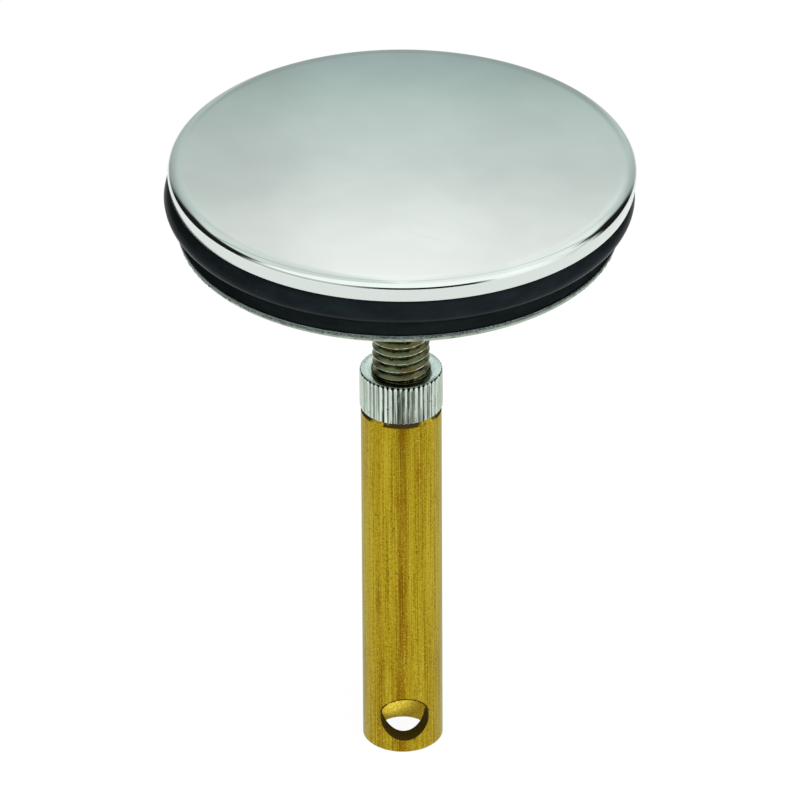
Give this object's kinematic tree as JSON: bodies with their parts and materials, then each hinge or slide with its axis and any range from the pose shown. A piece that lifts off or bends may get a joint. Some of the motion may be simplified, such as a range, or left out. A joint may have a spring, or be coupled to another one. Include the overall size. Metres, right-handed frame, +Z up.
{
  "type": "drain stopper",
  "caption": "Round plated drain plug with a rubber seal ring, height-adjusting threaded stud, knurled lock nut and tubular brass stem with a lever hole.",
  "frame": {"origin": "centre of the stem's lower end face", "axes": "+Z up along the stem to the cap's face, -Y out of the lever hole"},
  "size_m": [0.0636, 0.0636, 0.0914],
  "materials": {
    "cap_plating": "polished",
    "seal_rubber": "satin",
    "carrier_plastic": "matte",
    "plate_metal": "brushed",
    "clamp_nut_metal": "satin",
    "stud_nickel": "satin",
    "lock_nut_plating": "satin",
    "stem_brass": "drawn"
  },
  "bodies": {
    "stem": {"stem": "stem_brass"},
    "lock_nut": {"lock_nut": "lock_nut_plating"},
    "seal": {"seal_ring": "seal_rubber"},
    "head": {"plug_cap": "cap_plating", "seal_carrier": "carrier_plastic", "backing_plate": "plate_metal", "clamp_nut": "clamp_nut_metal", "threaded_stud": "stud_nickel"}
  },
  "joints": [
    {"name": "head_travel", "type": "slide", "parent": "stem", "child": "seal", "axis": [0, 0, 1], "range_m": [-0.00801, 0.00801]},
    {"name": "head_turn", "type": "hinge", "parent": "seal", "child": "head", "pos_m": [0, 0, 0.08595], "axis": [0, 0, 1], "range_deg": [-2304, 2304]},
    {"name": "lock_nut_travel", "type": "slide", "parent": "stem", "child": "lock_nut", "axis": [0, 0, 1], "range_m": [0, 0.008]}
  ],
  "couplings": [
    {"joint": "head_travel", "follows": "head_turn", "m_per_rad": 0.00019894}
  ]
}
